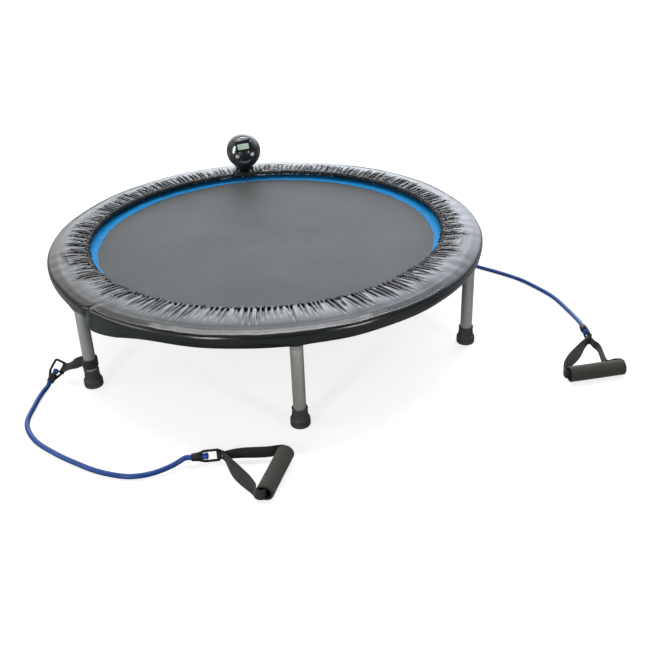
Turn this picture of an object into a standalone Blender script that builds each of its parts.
"""Mini trampoline with an edge pad, six screw-on legs, a step monitor on the
rim and two exercise bands tied to opposite legs.

Metres, +Z up. The origin is the centre of the jump mat's top face, so the
floor is at z = -MAT_HEIGHT. Azimuths are in degrees from +X towards +Y. The
front is -Y; the monitor stands on the +Y side and faces the front.
"""
import bpy
import bmesh
from math import cos, pi, radians, sin
from mathutils import Matrix, Vector

# ----------------------------------------------------------------- shared sizes
MAT_HEIGHT = 0.1975          # jump mat above the floor
FLOOR = -MAT_HEIGHT
FRAME_R = 0.471              # centreline radius of the round frame
TUBE_R = 0.0125              # frame tube, 25 mm
FIRST_LEG = -145.1           # azimuth of the first leg
LEGS = 6
LEG_PITCH = 360.0 / LEGS
ROUND_STEPS = 60             # segments round the mat and the pad


# ----------------------------------------------------------------- materials
def look(colour, roughness, metallic=0.0):
    return {"colour": (*colour, 1.0), "roughness": roughness, "metallic": metallic}


STEEL = look((0.55, 0.55, 0.53), roughness=0.38, metallic=1.0)
ZINC = look((0.72, 0.72, 0.72), roughness=0.30, metallic=1.0)
RUBBER = look((0.09, 0.095, 0.095), roughness=0.75)
MAT_FABRIC = look((0.10, 0.10, 0.105), roughness=0.85)
BLUE_WEBBING = look((0.03, 0.30, 0.75), roughness=0.75)
VINYL = look((0.035, 0.037, 0.045), roughness=0.30)
FOAM = look((0.75, 0.74, 0.70), roughness=0.95)
ELASTIC = look((0.12, 0.12, 0.12), roughness=0.85)
PLASTIC = look((0.03, 0.03, 0.035), roughness=0.35)
GLOSS = look((0.02, 0.02, 0.03), roughness=0.12)
WEBBING = look((0.045, 0.048, 0.042), roughness=0.85)
BLUE_RUBBER = look((0.02, 0.10, 0.55), roughness=0.35)
GRIP_FOAM = look((0.06, 0.06, 0.052), roughness=0.90)
LCD = look((0.62, 0.78, 0.66), roughness=0.30)
GLASS = look((0.80, 0.86, 0.84), roughness=0.08)
SILVER = look((0.80, 0.82, 0.82), roughness=0.25, metallic=0.6)
BOARD = look((0.03, 0.22, 0.10), roughness=0.55)


def material(name, finish):
    mat = bpy.data.materials.new(name)
    mat.use_nodes = True
    inputs = mat.node_tree.nodes["Principled BSDF"].inputs
    inputs["Base Color"].default_value = finish["colour"]
    inputs["Roughness"].default_value = finish["roughness"]
    inputs["Metallic"].default_value = finish["metallic"]
    mat.diffuse_color = finish["colour"]
    return mat


# ----------------------------------------------------------------- objects and modifiers
for old in list(bpy.data.objects):
    bpy.data.objects.remove(old, do_unlink=True)

parts = bpy.data.collections.new("mini_trampoline")
cutters = bpy.data.collections.new("cutters")
bpy.context.scene.collection.children.link(parts)
bpy.context.scene.collection.children.link(cutters)


def add_part(name, data, finish, matrix=None, parent=None):
    data.name = name
    part = bpy.data.objects.new(name, data)
    parts.objects.link(part)
    if parent is not None:
        part.parent = parent
        part.matrix_parent_inverse = parent.matrix_world.inverted()
    if matrix is not None:
        part.matrix_world = matrix
    part.data.materials.append(material(name + "_look", finish))
    return part


def add_boolean(target, name, mesh, matrix=Matrix(), operation="DIFFERENCE"):
    """Cut a hidden helper out of the target, or join it on."""
    mesh.name = name
    tool = bpy.data.objects.new(name, mesh)
    cutters.objects.link(tool)
    tool.matrix_world = matrix
    tool.hide_render = True
    tool.display_type = "WIRE"
    modifier = target.modifiers.new(operation.lower(), "BOOLEAN")
    modifier.operation = operation
    modifier.object = tool
    modifier.solver = "EXACT"


def solidify(part, thickness, offset):
    modifier = part.modifiers.new("wall", "SOLIDIFY")
    modifier.thickness = thickness
    modifier.offset = offset
    modifier.use_even_offset = True


def pivot(name, at):
    """An empty that marks where the parts under it turn."""
    empty = bpy.data.objects.new(name, None)
    parts.objects.link(empty)
    empty.empty_display_size = 0.02
    empty.matrix_world = Matrix.Translation(at)
    bpy.context.view_layer.update()
    return empty


# ----------------------------------------------------------------- points and frames
def circle(centre_x, centre_y, radius, count):
    return [(centre_x + radius * cos(2 * pi * k / count),
             centre_y + radius * sin(2 * pi * k / count)) for k in range(count)]


def polar(radius, azimuth, z=0.0):
    return Vector((radius * cos(radians(azimuth)), radius * sin(radians(azimuth)), z))


def frame_of(x_dir, y_dir):
    """A rotation with X along x_dir and Y as near y_dir as it can be."""
    x = Vector(x_dir).normalized()
    y = Vector(y_dir)
    y = (y - x * x.dot(y)).normalized()
    return Matrix((x, y, x.cross(y))).transposed()


def place(rotation, at):
    return Matrix.Translation(at) @ rotation.to_4x4()


def smooth_path(control, subdivisions=24):
    """Catmull-Rom curve through the control points, and the length run at each step."""
    points = [Vector(p) for p in control]
    points = [points[0] * 2 - points[1]] + points + [points[-1] * 2 - points[-2]]
    path = []
    for a, b, c, d in zip(points, points[1:], points[2:], points[3:]):
        for k in range(subdivisions):
            t = k / subdivisions
            path.append(0.5 * ((2 * b) + (c - a) * t + (2 * a - 5 * b + 4 * c - d) * t * t
                               + (3 * b - a - 3 * c + d) * t ** 3))
    path.append(points[-2])
    lengths = [0.0]
    for a, b in zip(path, path[1:]):
        lengths.append(lengths[-1] + (b - a).length)
    return path, lengths


def at_length(path, lengths, distance):
    distance = min(max(distance, 0.0), lengths[-1])
    for k in range(1, len(lengths)):
        if lengths[k] >= distance:
            share = (distance - lengths[k - 1]) / max(lengths[k] - lengths[k - 1], 1e-9)
            return path[k - 1].lerp(path[k], share)
    return path[-1]


def offset_loop(points, distance):
    """Offset a closed anticlockwise polygon; a positive distance moves it outwards."""
    moved = []
    for k, point in enumerate(points):
        a, b, c = Vector(points[k - 1]), Vector(point), Vector(points[(k + 1) % len(points)])
        normal_in = Vector(((b - a).y, -(b - a).x)).normalized()
        normal_out = Vector(((c - b).y, -(c - b).x)).normalized()
        mitre = (normal_in + normal_out).normalized()
        # the floor of 0.35 keeps sharp corners from running far out
        moved.append(tuple(b + mitre * (distance / max(mitre.dot(normal_in), 0.35))))
    return moved


# ----------------------------------------------------------------- mesh builders
def to_mesh(bm, smooth=False):
    mesh = bpy.data.meshes.new("part")
    bm.to_mesh(mesh)
    bm.free()
    if smooth:
        mesh.shade_smooth()
        mesh.set_sharp_from_angle(angle=radians(40))
    return mesh


def lathe_mesh(profile, steps, closed=True):
    """Turn a profile of (radius, z) about the Z axis."""
    bm = bmesh.new()
    verts = [bm.verts.new((radius, 0.0, z)) for radius, z in profile]
    pairs = list(zip(verts, verts[1:]))
    if closed:
        pairs.append((verts[-1], verts[0]))
    edges = [bm.edges.new(pair) for pair in pairs]
    bmesh.ops.spin(bm, geom=verts + edges, cent=(0, 0, 0), axis=(0, 0, 1),
                   angle=2 * pi, steps=steps, use_duplicate=False)
    bmesh.ops.remove_doubles(bm, verts=bm.verts, dist=0.00002)
    bmesh.ops.recalc_face_normals(bm, faces=bm.faces)
    return to_mesh(bm, smooth=True)


def arc_tube_mesh(minor, start, sweep, steps, sides=10):
    """Open skin of a round tube bent along the frame's centreline; angles in radians."""
    bm = bmesh.new()
    verts = [bm.verts.new((x, 0.0, z)) for x, z in circle(FRAME_R, 0.0, minor, sides)]
    edges = [bm.edges.new((verts[k], verts[(k + 1) % sides])) for k in range(sides)]
    bmesh.ops.spin(bm, geom=verts + edges, cent=(0, 0, 0), axis=(0, 0, 1),
                   angle=sweep, steps=steps, use_duplicate=False)
    bmesh.ops.recalc_face_normals(bm, faces=bm.faces)
    # an open skin has no sure outside, so test one face against the centreline
    face = bm.faces[:][0]
    middle = face.calc_center_median()
    on_centreline = Vector((middle.x, middle.y, 0)).normalized() * FRAME_R
    if face.normal.dot(middle - on_centreline) < 0:
        bmesh.ops.reverse_faces(bm, faces=bm.faces)
    bmesh.ops.rotate(bm, verts=bm.verts, cent=(0, 0, 0),
                     matrix=Matrix.Rotation(start, 3, "Z"))
    mesh = to_mesh(bm)
    mesh.shade_smooth()
    return mesh


def short_arc_mesh(minor, azimuth, span=15.0):
    """A short arc of tube centred on an azimuth."""
    return arc_tube_mesh(minor, radians(azimuth - span / 2), radians(span), steps=2)


def cap_ends(mesh):
    bm = bmesh.new()
    bm.from_mesh(mesh)
    bmesh.ops.holes_fill(bm, edges=[e for e in bm.edges if e.is_boundary], sides=0)
    bmesh.ops.recalc_face_normals(bm, faces=bm.faces)
    bm.to_mesh(mesh)
    bm.free()


def cylinder_mesh(radius, z_low, z_high, sides, top_radius=None):
    bm = bmesh.new()
    bmesh.ops.create_cone(bm, cap_ends=True, segments=sides, radius1=radius,
                          radius2=radius if top_radius is None else top_radius,
                          depth=z_high - z_low,
                          matrix=Matrix.Translation((0, 0, (z_low + z_high) / 2)))
    return to_mesh(bm, smooth=True)


def box_mesh(outline, z_low, z_high, clearance=0.0):
    """A box from an outline (half width in X, low Y, high Y), grown by the clearance."""
    half_width, y_low, y_high = outline
    low = (-half_width - clearance, y_low - clearance, z_low)
    high = (half_width + clearance, y_high + clearance, z_high)
    bm = bmesh.new()
    bmesh.ops.create_cube(bm, size=1.0)
    for vert in bm.verts:
        vert.co = Vector([(low[i] + high[i]) / 2 + vert.co[i] * (high[i] - low[i])
                          for i in range(3)])
    return to_mesh(bm)


def sphere_mesh(radius):
    bm = bmesh.new()
    bmesh.ops.create_uvsphere(bm, u_segments=24, v_segments=14, radius=radius)
    return to_mesh(bm)


def flat_outline(loops, half):
    """Flat outlines with holes, as a filled 2D curve extruded by half both ways."""
    curve = bpy.data.curves.new("outline", "CURVE")
    curve.dimensions = "2D"
    curve.fill_mode = "BOTH"
    curve.extrude = half
    for loop in loops:
        spline = curve.splines.new("POLY")
        spline.points.add(len(loop) - 1)
        for point, (x, y) in zip(spline.points, loop):
            point.co = (x, y, 0.0, 1.0)
        spline.use_cyclic_u = True
    return curve


def outline_mesh(loops, half):
    """The same shape as a closed mesh, with its caps welded."""
    holder = bpy.data.objects.new("outline_holder", flat_outline(loops, half))
    cutters.objects.link(holder)
    bpy.context.view_layer.update()
    depsgraph = bpy.context.evaluated_depsgraph_get()
    mesh = bpy.data.meshes.new_from_object(holder.evaluated_get(depsgraph))
    bm = bmesh.new()
    bm.from_mesh(mesh)
    bmesh.ops.remove_doubles(bm, verts=bm.verts, dist=0.00001)
    bmesh.ops.recalc_face_normals(bm, faces=bm.faces)
    bm.to_mesh(mesh)
    bm.free()
    bpy.data.objects.remove(holder, do_unlink=True)
    return mesh


def cord(points, radius, resolution, swell=None, cyclic=False):
    """A round cord through the points; swell scales the radius at each of them."""
    curve = bpy.data.curves.new("cord", "CURVE")
    curve.dimensions = "3D"
    curve.bevel_depth = radius
    curve.bevel_resolution = resolution
    curve.use_fill_caps = not cyclic
    spline = curve.splines.new("POLY")
    spline.points.add(len(points) - 1)
    for k, (point, at) in enumerate(zip(spline.points, points)):
        point.co = (*at, 1.0)
        point.radius = swell[k] if swell else 1.0
    spline.use_cyclic_u = cyclic
    return curve


# ----------------------------------------------------------------- round frame
TUBE_WALL = 0.0014
SPLIT = FIRST_LEG - LEG_PITCH / 2    # azimuth of the left joint, midway between two legs
END_GAP = 0.0003                     # each tube end stops this far short of the joint
JOINER_PLAY = 0.0005
JOINER_WALL = 0.0013


def build_frame():
    """Two half rings with a joiner sleeve inside each joint."""
    gap_angle = END_GAP / FRAME_R
    for name, azimuth in (("frame_tube_front", SPLIT), ("frame_tube_rear", SPLIT + 180.0)):
        mesh = arc_tube_mesh(TUBE_R, radians(azimuth) + gap_angle, pi - 2 * gap_angle, steps=24)
        solidify(add_part(name, mesh, STEEL), TUBE_WALL, -1.0)
    for name, azimuth in (("joiner_left", SPLIT), ("joiner_right", SPLIT + 180.0)):
        mesh = short_arc_mesh(TUBE_R - TUBE_WALL - JOINER_PLAY, azimuth)
        solidify(add_part(name, mesh, ZINC), JOINER_WALL, -1.0)


# ----------------------------------------------------------------- legs
LEG_R = 0.0127               # leg tube, 25.4 mm
LEG_WALL = 0.0015
LEG_TOP = -0.0171
LEG_BOTTOM = FLOOR + 0.0042
LEG_STEPS = 12
SADDLE_PLAY = 0.0004         # between the frame tube and the socket's hollow

# (radius, z) of the plug under the frame, before the tube's hollow is cut
SOCKET_PROFILE = [
    (0.0, -0.0090), (0.0126, -0.0090), (0.0126, -0.0168), (0.0107, -0.0168),
    (0.0107, -0.0420), (0.0, -0.0420)]

# (radius, height above the floor)
FOOT_PROFILE = [
    (0.0, 0.0), (0.0188, 0.0), (0.0198, 0.0015), (0.0198, 0.0165),
    (0.0166, 0.0190), (0.0152, 0.0355), (0.0159, 0.0372), (0.0159, 0.0400),
    (0.0133, 0.0400), (0.0133, 0.0038), (0.0, 0.0038)]


def build_leg(number, azimuth):
    """Socket, tube and rubber foot."""
    at = polar(FRAME_R, azimuth)
    on_frame = Matrix.Translation(at)
    socket = add_part(f"leg_socket_{number}",
                      lathe_mesh(SOCKET_PROFILE, LEG_STEPS, closed=False), ZINC, on_frame)
    hollow = short_arc_mesh(TUBE_R + SADDLE_PLAY, azimuth)
    cap_ends(hollow)
    add_boolean(socket, f"saddle_{number}", hollow)
    bore = LEG_R - LEG_WALL
    tube = [(LEG_R, LEG_TOP), (LEG_R, LEG_BOTTOM), (bore, LEG_BOTTOM), (bore, LEG_TOP)]
    add_part(f"leg_tube_{number}", lathe_mesh(tube, LEG_STEPS), STEEL, on_frame)
    add_part(f"leg_foot_{number}", lathe_mesh(FOOT_PROFILE, LEG_STEPS, closed=False), RUBBER,
             Matrix.Translation(at + Vector((0, 0, FLOOR))))


# ----------------------------------------------------------------- jumping bed
MAT_R = 0.382                # black mat
MAT_THICK = 0.0012
BORDER_IN, BORDER_OUT = 0.3826, 0.4280
BORDER_HALF = 0.0014         # half the border's thickness
BORDER_Z = -0.0016
LACES = 30
LACE_R = 0.418               # circle of lacing holes
LACE_HOLE_R = 0.0034
LACE_ABOVE, LACE_BELOW = 0.0046, -0.0072     # cord heights at each hole
CORD_R = 0.0015
WRAP_R = 0.0146              # the cord's centreline round the frame tube
WRAP_ANGLE = 100.0           # the wrap runs this far below and above the tube's outer side
WRAP_DRIFT = 0.35            # azimuth either side of the wrap's middle
WRAP_STEPS = 8


def build_bed():
    """Mat, its webbing border and the cord that laces the border to the frame."""
    bed = pivot("mat_axis", (0, 0, 0))
    disc = [(0.0, 0.0), (MAT_R, 0.0), (MAT_R, -MAT_THICK), (0.0, -MAT_THICK)]
    add_part("jump_mat", lathe_mesh(disc, ROUND_STEPS, closed=False), MAT_FABRIC, parent=bed)

    hole_azimuths = [FIRST_LEG + 360.0 / LACES * k for k in range(LACES)]
    loops = [circle(0, 0, radius, ROUND_STEPS) for radius in (BORDER_OUT, BORDER_IN)]
    loops += [circle(*polar(LACE_R, azimuth).xy, LACE_HOLE_R, 6) for azimuth in hole_azimuths]
    add_part("mat_border", flat_outline(loops, BORDER_HALF), BLUE_WEBBING,
             Matrix.Translation((0, 0, BORDER_Z)), bed)

    lacing = []
    for azimuth in hole_azimuths:
        lacing += [polar(LACE_R, azimuth, LACE_ABOVE), polar(LACE_R, azimuth, LACE_BELOW)]
        middle = azimuth + 180.0 / LACES
        for j in range(WRAP_STEPS + 1):
            part_way = 2 * j / WRAP_STEPS - 1        # -1 to 1 along the wrap
            angle = radians(WRAP_ANGLE * part_way)
            lacing.append(polar(FRAME_R + WRAP_R * cos(angle),
                                middle + WRAP_DRIFT * part_way, WRAP_R * sin(angle)))
    add_part("suspension_cord", cord(lacing, CORD_R, 0, cyclic=True), ELASTIC)


# ----------------------------------------------------------------- edge pad
COVER_WALL = 0.0009

# (radius, z) of the foam's closed section
FOAM_PROFILE = [
    (0.4010, 0.0075), (0.4180, 0.0083), (0.4530, 0.0150), (0.4650, 0.0168),
    (0.4720, 0.0169), (0.4720, 0.0178), (0.4640, 0.0200), (0.4530, 0.0215),
    (0.4300, 0.0215), (0.4090, 0.0190), (0.4010, 0.0165)]

# (radius, z) along the cover, from its outer hem over the top to its inner hem
COVER_PROFILE = [
    (0.4858, -0.0118), (0.4874, -0.0070), (0.4888, -0.0010), (0.4888, 0.0050),
    (0.4870, 0.0102), (0.4835, 0.0138), (0.4790, 0.0161), (0.4730, 0.0184),
    (0.4640, 0.0208), (0.4530, 0.0222), (0.4300, 0.0222), (0.4080, 0.0196),
    (0.3955, 0.0162), (0.3935, 0.0150), (0.3918, 0.0130), (0.3918, 0.0088)]

# name, ring radius, z, cord radius
PAD_CORDS = [
    ("pad_inner_elastic", 0.3940, 0.0100, 0.0013),
    ("pad_outer_cord", 0.4857, -0.0136, 0.0008)]


def build_pad():
    add_part("pad_foam", lathe_mesh(FOAM_PROFILE, ROUND_STEPS), FOAM)
    cover = add_part("pad_cover", lathe_mesh(COVER_PROFILE, ROUND_STEPS, closed=False), VINYL)
    solidify(cover, COVER_WALL, 0.0)
    for name, ring_radius, z, radius in PAD_CORDS:
        add_part(name, lathe_mesh(circle(ring_radius, z, radius, 4), ROUND_STEPS), ELASTIC)


# ----------------------------------------------------------------- monitor
# Local axes: X along the display's width, Y up the face, Z out of the face.
BALL_R = 0.0455
BALL_CENTRE = Vector((-0.0468, 0.4302, 0.0697))
BALL_WALL = 0.0022
BALL_STEPS = 24
DOME_STEPS = 7               # from the seam to the pole
SEAM = 0.0002                # each shell stops this far from the seam plane
FACE_AZIMUTH, FACE_ELEVATION, FACE_ROLL = -86.5, 18.0, 3.0
FRONT_CUT = (0.010, 0.060)   # Z range of the cutters through the front shell

# outlines: half width in X, low Y, high Y
BEZEL = (0.0191, -0.0026, 0.0266)
WINDOW = (0.0162, 0.0025, 0.0189)
DISPLAY = (0.0175, 0.0010, 0.0205)
COIN_SLOT = (0.0080, -0.0010, 0.0010)
BEZEL_PLAY = 0.0004
WINDOW_PLAY = 0.0003

BUTTON_X, BUTTON_Y = 0.0197, -0.0128
BUTTON_HOLE_R = 0.0059
# (radius, z) of a button, flanged at its inner end
BUTTON_PROFILE = [
    (0.0, 0.0405), (0.0040, 0.0403), (0.0054, 0.0392), (0.0054, 0.0272),
    (0.0068, 0.0272), (0.0068, 0.0256), (0.0, 0.0256)]

SADDLE_Z = 0.0264            # middle height of the saddle plate
SADDLE_HALF = 0.0033
SADDLE_CORNER_R = 0.0125
# x, y of each corner's centre and the angle its arc starts at
SADDLE_CORNERS = [
    (0.0175, 0.0045, 0), (-0.0175, 0.0045, 90), (-0.0175, -0.0045, 180), (0.0175, -0.0045, 270)]
SEAT_PLAY = 0.0004

MOUNT_STRAP_AZIMUTH = 98.05
MOUNT_STRAP_HALF = 0.0088    # half its width
MOUNT_STRAP_THICK = 0.0010
# (radius, z) along the strap, from the saddle over the shoulder, down and under the frame
MOUNT_STRAP_PATH = [
    (0.4502, 0.0255), (0.4560, 0.0247), (0.4650, 0.0228), (0.4740, 0.0203),
    (0.4800, 0.0180), (0.4850, 0.0154), (0.4892, 0.0111), (0.4908, 0.0055),
    (0.4908, -0.0015), (0.4896, -0.0080), (0.4880, -0.0140), (0.4836, -0.0184),
    (0.4710, -0.0204), (0.4600, -0.0192), (0.4560, -0.0180)]


def monitor_matrix():
    elevation, roll = radians(FACE_ELEVATION), radians(FACE_ROLL)
    facing = polar(cos(elevation), FACE_AZIMUTH, sin(elevation))
    level = Vector((0, 0, 1)).cross(facing).normalized()
    across = level * cos(roll) + facing.cross(level) * sin(roll)
    return place(frame_of(across, facing.cross(across)), BALL_CENTRE)


def dome_mesh(sign):
    """Half of the hollow ball, on the +Z or -Z side."""
    def arc(radius):
        angles = [radians(90.0 * j / DOME_STEPS) for j in range(1, DOME_STEPS)]
        return ([(radius, sign * SEAM)]
                + [(radius * cos(a), sign * radius * sin(a)) for a in angles]
                + [(0.0, sign * radius)])

    profile = arc(BALL_R)[::-1] + arc(BALL_R - BALL_WALL)
    return lathe_mesh(profile, BALL_STEPS, closed=False)


def build_monitor_front(monitor):
    """Front shell, bezel, window, display, circuit board and two buttons."""
    front = add_part("monitor_front_shell", dome_mesh(1), GLOSS, monitor)
    add_boolean(front, "bezel_opening", box_mesh(BEZEL, *FRONT_CUT, BEZEL_PLAY), monitor)
    bezel = add_part("monitor_bezel", box_mesh(BEZEL, 0.0275, 0.0304), PLASTIC, monitor)
    add_boolean(bezel, "window_hole", box_mesh(WINDOW, 0.020, 0.040, WINDOW_PLAY), monitor)
    add_part("monitor_window", box_mesh(WINDOW, 0.0282, 0.0294), GLASS, monitor)
    add_part("monitor_display", box_mesh(DISPLAY, 0.0242, 0.0270), LCD, monitor)
    add_part("monitor_circuit_board", cylinder_mesh(0.0300, 0.0145, 0.0161, 24), BOARD, monitor)
    for side, x in (("left", -BUTTON_X), ("right", BUTTON_X)):
        here = monitor @ Matrix.Translation((x, BUTTON_Y, 0))
        add_boolean(front, side + "_button_hole",
                    cylinder_mesh(BUTTON_HOLE_R, *FRONT_CUT, 16), here)
        add_part("monitor_button_" + side, lathe_mesh(BUTTON_PROFILE, 16, closed=False),
                 SILVER, here, pivot(side + "_button_axis", here.translation))


def build_monitor_rear(monitor):
    """Rear shell with a coin cell behind a slotted cap."""
    rear = add_part("monitor_rear_shell", dome_mesh(-1), GLOSS, monitor)
    add_boolean(rear, "battery_hole", cylinder_mesh(0.0146, -0.060, -0.020, 24), monitor)
    add_part("monitor_coin_cell", cylinder_mesh(0.0100, -0.0397, -0.0365, 20), ZINC, monitor)
    cap = add_part("monitor_battery_cap", cylinder_mesh(0.0140, -0.0430, -0.0404, 24), PLASTIC,
                   monitor, pivot("battery_cap_axis", BALL_CENTRE))
    add_boolean(cap, "coin_slot", box_mesh(COIN_SLOT, -0.0500, -0.0418), monitor)


def build_monitor_saddle():
    """Rounded plate under the ball, hollowed to seat it."""
    radial = Vector((BALL_CENTRE.x, BALL_CENTRE.y, 0)).normalized()
    tangent = Vector((radial.y, -radial.x, 0))
    outline = []
    for centre_x, centre_y, start in SADDLE_CORNERS:
        for j in range(4):
            angle = radians(start + 30 * j)
            outline.append((centre_x + SADDLE_CORNER_R * cos(angle),
                            centre_y + SADDLE_CORNER_R * sin(angle)))
    saddle = add_part("monitor_saddle", outline_mesh([outline], SADDLE_HALF), PLASTIC,
                      place(frame_of(tangent, radial),
                            Vector((BALL_CENTRE.x, BALL_CENTRE.y, SADDLE_Z))))
    add_boolean(saddle, "ball_seat", sphere_mesh(BALL_R + SEAT_PLAY),
                Matrix.Translation(BALL_CENTRE))


def build_monitor_strap():
    """Strap that hooks the saddle to the frame tube."""
    bm = bmesh.new()
    row = [bm.verts.new((radius, -MOUNT_STRAP_HALF, z)) for radius, z in MOUNT_STRAP_PATH]
    edges = [bm.edges.new(pair) for pair in zip(row, row[1:])]
    extruded = bmesh.ops.extrude_edge_only(bm, edges=edges)["geom"]
    far_row = [item for item in extruded if isinstance(item, bmesh.types.BMVert)]
    bmesh.ops.translate(bm, verts=far_row, vec=(0, 2 * MOUNT_STRAP_HALF, 0))
    strap = add_part("monitor_strap", to_mesh(bm), WEBBING,
                     Matrix.Rotation(radians(MOUNT_STRAP_AZIMUTH), 4, "Z"))
    solidify(strap, MOUNT_STRAP_THICK, 0.0)


# ----------------------------------------------------------------- exercise bands
EYE_R = 0.0058               # outside of the webbing eyes
EYE_SIDES = 12
WEB_HALF_THICK = 0.0010      # handle webbing
WEB_HALF_WIDTH = 0.0080
WEB_HOLE_R = 0.0040

STRAP_LOW, STRAP_HIGH = FLOOR + 0.0440, FLOOR + 0.0670
STRAP_MID = (STRAP_LOW + STRAP_HIGH) / 2
STRAP_HALF = (STRAP_HIGH - STRAP_LOW) / 2
STRAP_R = 0.0156
STRAP_BORE = 0.0135
TAIL_START, TAIL_BEND = 0.0040, 0.0220       # reach from the leg's axis
TAIL_HALF = 0.0016           # half the tail's thickness
PIN_HOLE_R = 0.0041

YOKE_LENGTH = 0.054
YOKE_THICK = 0.0052          # thickness of the flat ring
YOKE_END_BAR = (0.0023, 0, 0)        # middle of the end bar
YOKE_SIDE_ARM = (0.0140, 0.0115, 0)  # a place on the middle of the +Y arm
# (x, y) of the ring, with X from the end bar to the sleeve's mouth
YOKE_OUTER = [
    (0.0, -0.0100), (0.0012, -0.0128), (0.0040, -0.0138), (0.0290, -0.0138),
    (0.0400, -0.0075), (0.0430, -0.0060), (0.0430, 0.0060), (0.0400, 0.0075),
    (0.0290, 0.0138), (0.0040, 0.0138), (0.0012, 0.0128), (0.0, 0.0100)]
YOKE_INNER = [
    (0.0046, -0.0092), (0.0046, 0.0092), (0.0290, 0.0092), (0.0355, 0.0062),
    (0.0355, -0.0062), (0.0290, -0.0092)]

BAND_R = 0.0050              # rubber tube, 10 mm
BAND_CUTS = (0.30, 0.66)     # where the tube is divided, as shares of its length
BAND_GAP = 0.0013            # half the gap at each division
MOUTH_OFFSETS = (0.001, 0.012)       # path points beyond a yoke's mouth
# stations along the yoke's X of the swollen plug inside it, and their radius scales
PLUG_X = (0.0225, 0.0240, 0.0285, 0.0300)
PLUG_SWELL = [0.9, 1.24, 1.24, 1.0]

GRIP_LENGTH = 0.120
GRIP_SIDES = 16
HANDLE_Z = FLOOR + 0.0165
HAND_YOKE_Z = HANDLE_Z - 0.0007
WEB_END_GAP = 0.0030         # webbing beyond each end of the grip
WEB_SHOULDER = 0.0200        # from the grip's axis to where the webbing turns to the yoke

# x, y, height above the floor, from the leg yoke to the handle yoke
LEFT_PATH = [
    (-0.4885, -0.2990, 0.0062), (-0.4945, -0.3377, 0.0054), (-0.4978, -0.4050, 0.0054),
    (-0.4714, -0.4634, 0.0054), (-0.4261, -0.5103, 0.0054), (-0.3800, -0.5472, 0.0054),
    (-0.3363, -0.5770, 0.0054), (-0.2912, -0.5965, 0.0056), (-0.2597, -0.6010, 0.0064),
    (-0.2291, -0.5969, 0.0084), (-0.1986, -0.5847, 0.0120)]
RIGHT_PATH = [
    (0.5471, 0.1607, 0.0056), (0.5836, 0.1267, 0.0054), (0.6290, 0.0760, 0.0054),
    (0.6620, 0.0168, 0.0054), (0.6830, -0.0352, 0.0056), (0.6928, -0.1092, 0.0090),
    (0.6955, -0.1600, 0.0135)]


def build_yoke(name, matrix, parent):
    """Flat ring with a bored sleeve on its +X end."""
    ring = outline_mesh([YOKE_OUTER, YOKE_INNER], YOKE_THICK / 2)
    yoke = add_part(name, ring, PLASTIC, matrix, parent)
    along_x = matrix @ Matrix.Rotation(radians(90), 4, "Y")
    sleeve = cylinder_mesh(0.0086, 0.0385, YOKE_LENGTH, 16, top_radius=0.0071)
    add_boolean(yoke, name + "_sleeve", sleeve, along_x, "UNION")
    add_boolean(yoke, name + "_bore", cylinder_mesh(0.0057, 0.0330, 0.0600, 16), along_x)


def strap_tail_mesh(at, eye, axis, eye_length):
    """Flat tail that stands upright at the leg and turns in line with the eye."""
    run = eye - at
    outward = Vector((run.x, run.y, 0)).normalized()
    side = Vector((-outward.y, outward.x, 0))
    away = axis.cross(run).normalized()
    if away.dot(side) < 0:
        away = -away
    up = axis if axis.z > 0 else -axis
    bm = bmesh.new()
    bmesh.ops.create_cube(bm, size=2.0)
    bmesh.ops.bisect_plane(bm, geom=bm.verts[:] + bm.edges[:] + bm.faces[:], dist=1e-5,
                           plane_co=(0, 0, 0), plane_no=(1, 0, 0))
    for vert in bm.verts:
        x, y, z = vert.co
        if x < 0.5:
            reach = TAIL_START if x < -0.5 else TAIL_BEND
            rise = Vector((0, 0, z * (STRAP_HALF - 0.0004)))
            vert.co = at + outward * reach + side * (y * TAIL_HALF) + rise
        else:
            vert.co = eye + away * (y * TAIL_HALF) + up * (z * (eye_length / 2 - 0.0002))
    return to_mesh(bm)


def build_leg_strap(name, leg_at, eye, axis, eye_length, parent):
    """Webbing round the leg with a flat tail that ends in an eye."""
    on_leg = Matrix.Translation(leg_at)
    strap = add_part(name, cylinder_mesh(STRAP_R, -STRAP_HALF, STRAP_HALF, 20), WEBBING,
                     on_leg, parent)
    axis = axis.normalized()
    add_boolean(strap, name + "_tail", strap_tail_mesh(leg_at, eye, axis, eye_length),
                operation="UNION")
    at_eye = place(frame_of(axis.orthogonal(), axis.cross(axis.orthogonal())), eye)
    add_boolean(strap, name + "_eye",
                cylinder_mesh(EYE_R, -eye_length / 2, eye_length / 2, EYE_SIDES),
                at_eye, "UNION")
    add_boolean(strap, name + "_pin_hole",
                cylinder_mesh(PIN_HOLE_R, -0.02, 0.02, EYE_SIDES), at_eye)
    add_boolean(strap, name + "_leg_hole", cylinder_mesh(STRAP_BORE, -0.03, 0.03, 20), on_leg)


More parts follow.
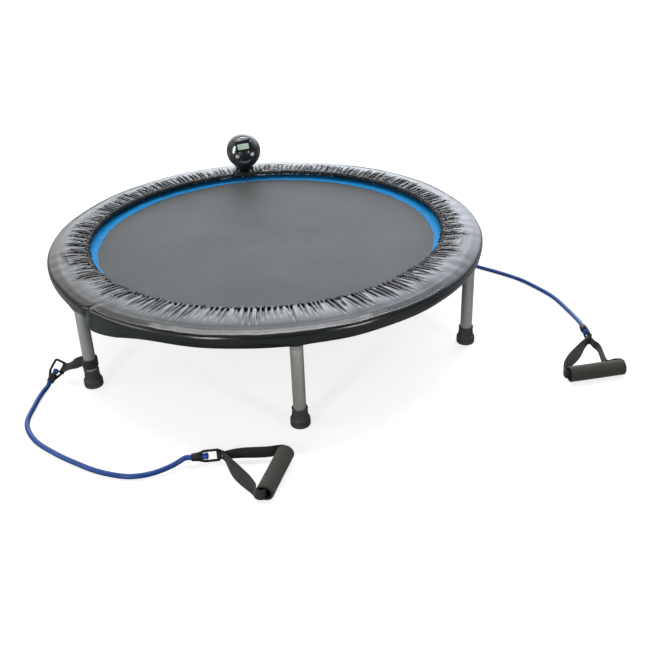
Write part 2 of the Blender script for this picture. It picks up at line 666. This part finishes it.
def build_band_tube(side, leg_yoke, hand_yoke, floor_path, root_pivot):
    """Rubber tube in three lengths between the yokes; returns the last one's pivot."""
    def stations(yoke, distances):
        return [yoke @ Vector((x, 0, 0)) for x in distances]

    mouth = [YOKE_LENGTH + x for x in MOUTH_OFFSETS]
    middle = [(x, y, FLOOR + height) for x, y, height in floor_path]
    path, lengths = smooth_path(stations(leg_yoke, mouth) + middle
                                + stations(hand_yoke, mouth)[::-1])
    total = lengths[-1]
    first_cut, second_cut = [total * share for share in BAND_CUTS]

    def piece(start, end, count):
        return [at_length(path, lengths, start + (end - start) * k / count)
                for k in range(count + 1)]

    root = piece(0.0, first_cut - BAND_GAP, 9)
    add_part(side + "_tube_root",
             cord(stations(leg_yoke, PLUG_X) + root, BAND_R, 1, PLUG_SWELL + [1.0] * len(root)),
             BLUE_RUBBER, parent=root_pivot)
    lift = pivot(side + "_tube_lift_axis", at_length(path, lengths, first_cut))
    add_part(side + "_tube_mid",
             cord(piece(first_cut + BAND_GAP, second_cut - BAND_GAP, 10), BAND_R, 1),
             BLUE_RUBBER, parent=lift)
    bend = pivot(side + "_tube_bend_axis", at_length(path, lengths, second_cut))
    last = piece(second_cut + BAND_GAP, total, 9)
    add_part(side + "_tube_end",
             cord(last + stations(hand_yoke, PLUG_X)[::-1], BAND_R, 1,
                  [1.0] * len(last) + PLUG_SWELL[::-1]),
             BLUE_RUBBER, parent=bend)
    return bend


def build_handle_webbing(side, bar, grip, along):
    """Webbing loop round the yoke's end bar and through the grip."""
    toward_yoke = Vector((-along.y, along.x))
    if toward_yoke.dot(bar.xy - grip) < 0:
        toward_yoke = -toward_yoke
    end = along * (GRIP_LENGTH / 2 + WEB_END_GAP)
    shoulder = toward_yoke * WEB_SHOULDER
    loop = [bar.xy, grip + shoulder + end, grip + end, grip - end, grip + shoulder - end]
    area = sum(p[0] * q[1] - q[0] * p[1] for p, q in zip(loop, loop[1:] + loop[:1]))
    if area < 0:
        loop = loop[::-1]
    outlines = [offset_loop(loop, WEB_HALF_THICK), offset_loop(loop, -WEB_HALF_THICK)[::-1]]
    webbing = add_part(side + "_handle_webbing", outline_mesh(outlines, WEB_HALF_WIDTH), WEBBING,
                       Matrix.Translation((0, 0, HANDLE_Z)), pivot(side + "_handle_axis", bar))
    at_bar = Matrix.Translation((bar.x, bar.y, HANDLE_Z))
    add_boolean(webbing, side + "_web_eye",
                cylinder_mesh(EYE_R, -WEB_HALF_WIDTH, WEB_HALF_WIDTH, EYE_SIDES),
                at_bar, "UNION")
    add_boolean(webbing, side + "_web_hole",
                cylinder_mesh(WEB_HOLE_R, -0.02, 0.02, EYE_SIDES), at_bar)


def build_grip(side, grip, along):
    """Plastic core inside a foam sleeve."""
    matrix = place(frame_of((0, 0, 1), (-along.y, along.x, 0)),
                   Vector((grip.x, grip.y, HANDLE_Z)))
    turn = pivot(side + "_grip_axis", matrix.translation)
    half = GRIP_LENGTH / 2
    core_half = half - 0.001
    core = [(0.0124, core_half), (0.0124, -core_half), (0.0106, -core_half), (0.0106, core_half)]
    add_part(side + "_grip_core", lathe_mesh(core, GRIP_SIDES), PLASTIC, matrix, turn)
    bevel_z = half - 0.0018
    foam = [(0.0145, half), (0.0163, bevel_z), (0.0163, -bevel_z),
            (0.0145, -half), (0.0129, -half), (0.0129, half)]
    add_part(side + "_foam_grip", lathe_mesh(foam, GRIP_SIDES), GRIP_FOAM, matrix, turn)


def build_band(side, leg_azimuth, leg_yoke, held_at, held_axis, eye_length, floor_path,
               hand_yoke, grip_centre, grip_direction):
    """One band; held_at and held_axis are the leg strap's eye in the leg yoke's axes."""
    leg_at = polar(FRAME_R, leg_azimuth, STRAP_MID)
    eye = leg_yoke @ Vector(held_at)
    eye_axis = leg_yoke.to_3x3() @ Vector(held_axis)
    strap_pivot = pivot(side + "_strap_axis", leg_at)
    yoke_pivot = pivot(side + "_yoke_axis", eye)
    build_leg_strap(side + "_leg_strap", leg_at, eye, eye_axis, eye_length, strap_pivot)
    build_yoke(side + "_leg_yoke", leg_yoke, yoke_pivot)
    end_pivot = build_band_tube(side, leg_yoke, hand_yoke, floor_path, yoke_pivot)
    build_yoke(side + "_handle_yoke", hand_yoke, end_pivot)
    grip = Vector(grip_centre)
    along = Vector(grip_direction).normalized()
    build_handle_webbing(side, hand_yoke @ Vector(YOKE_END_BAR), grip, along)
    build_grip(side, grip, along)


def build_left_band():
    """Its leg yoke leans up against the strap, which holds one arm of the ring."""
    lean = frame_of((-0.400, -0.787, -0.470), (0.830, -0.0935, -0.550))
    mouth = Vector((-0.4765, -0.2691, FLOOR + 0.0140))
    build_band("left", FIRST_LEG,
               leg_yoke=place(lean, mouth - lean @ Vector((YOKE_LENGTH, 0, 0))),
               held_at=YOKE_SIDE_ARM, held_axis=(1, 0, 0), eye_length=0.0172,
               floor_path=LEFT_PATH,
               hand_yoke=place(frame_of((-1.0, -0.04, 0.0), (0, 0, 1)),
                               Vector((-0.1120, -0.5690, HAND_YOKE_Z))),
               grip_centre=(-0.0137, -0.6333), grip_direction=(0.355, 0.935))


def build_right_band():
    """Tied to the opposite leg, with its yoke held by the end bar."""
    build_band("right", FIRST_LEG + 180.0,
               leg_yoke=place(frame_of((0.819, -0.554, -0.150), (0, 0, 1)),
                              Vector((0.4370, 0.2350, FLOOR + 0.0240))),
               held_at=YOKE_END_BAR, held_axis=(0, 1, 0), eye_length=0.0168,
               floor_path=RIGHT_PATH,
               hand_yoke=place(frame_of((0.050, 0.998, 0.0), (0, 0, 1)),
                               Vector((0.6918, -0.2505, HAND_YOKE_Z))),
               grip_centre=(0.6600, -0.3829), grip_direction=(0.9934, 0.1145))


# ----------------------------------------------------------------- assembly
build_frame()
for leg in range(LEGS):
    build_leg(leg + 1, FIRST_LEG + LEG_PITCH * leg)
build_bed()
build_pad()
ball = monitor_matrix()
build_monitor_front(ball)
build_monitor_rear(ball)
build_monitor_saddle()
build_monitor_strap()
build_left_band()
build_right_band()
bpy.context.view_layer.update()
